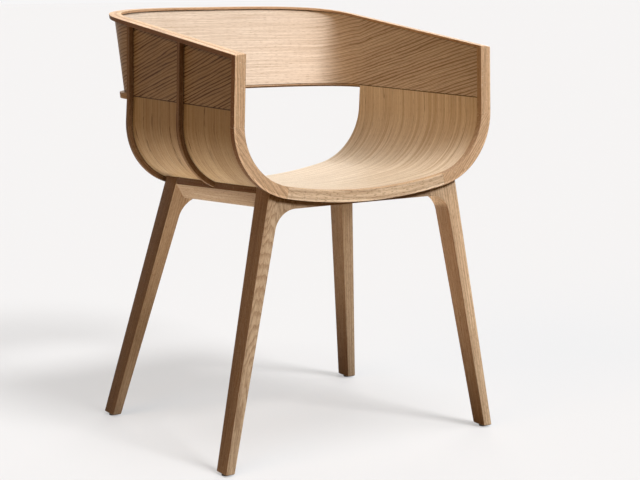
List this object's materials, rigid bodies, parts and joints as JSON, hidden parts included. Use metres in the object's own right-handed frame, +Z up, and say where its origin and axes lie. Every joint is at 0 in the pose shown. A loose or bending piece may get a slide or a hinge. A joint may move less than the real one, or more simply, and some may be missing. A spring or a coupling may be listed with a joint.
{
  "type": "wooden chair",
  "caption": "Low-armed wooden chair: a ribbed bent-plywood shell with a wrap-round back band, a front frame and rising top rail, on splayed tapered legs joined by rails.",
  "frame": {"origin": "middle of the bounding box, on the floor under the chair", "axes": "+Z up, -Y the way the open front of the seat faces, +X to the right of someone who stands in front of the chair and faces it, which is also the picture's right; left and right in the nodes' names follow it"},
  "size_m": [0.5462, 0.535, 0.7364],
  "materials": {
    "oak_solid": "solid oak, matt oil",
    "oak_ply": "oak-faced bent plywood, matt oil",
    "dowel_wood": "plain beech dowel",
    "screw_steel": "zinc-plated wood screw",
    "glide_plastic": "dark brown nylon"
  },
  "bodies": {
    "root": {"front_bow": "oak_solid", "front_corner_left": "oak_solid", "front_corner_right": "oak_solid", "front_upright_left": "oak_solid", "front_upright_right": "oak_solid", "mid_rib": "oak_solid", "rear_rib": "oak_solid", "arm_rail_left": "oak_solid", "arm_rail_right": "oak_solid", "rail_corner_left": "oak_solid", "rail_corner_right": "oak_solid", "back_rail": "oak_solid", "lower_back_rail": "oak_solid", "leg_front_left": "oak_solid", "leg_front_right": "oak_solid", "leg_rear_left": "oak_solid", "leg_rear_right": "oak_solid", "front_rail": "oak_solid", "rear_rail": "oak_solid", "side_rail_left": "oak_solid", "side_rail_right": "oak_solid", "seat_shell": "oak_ply", "back_band": "oak_ply", "dowels_front": "dowel_wood", "dowels_rear": "dowel_wood", "dowels_left": "dowel_wood", "dowels_right": "dowel_wood", "front_screws": "screw_steel", "rear_screws": "screw_steel", "glide_front_left": "glide_plastic", "glide_front_right": "glide_plastic", "glide_rear_left": "glide_plastic", "glide_rear_right": "glide_plastic"}
  },
  "joints": []
}
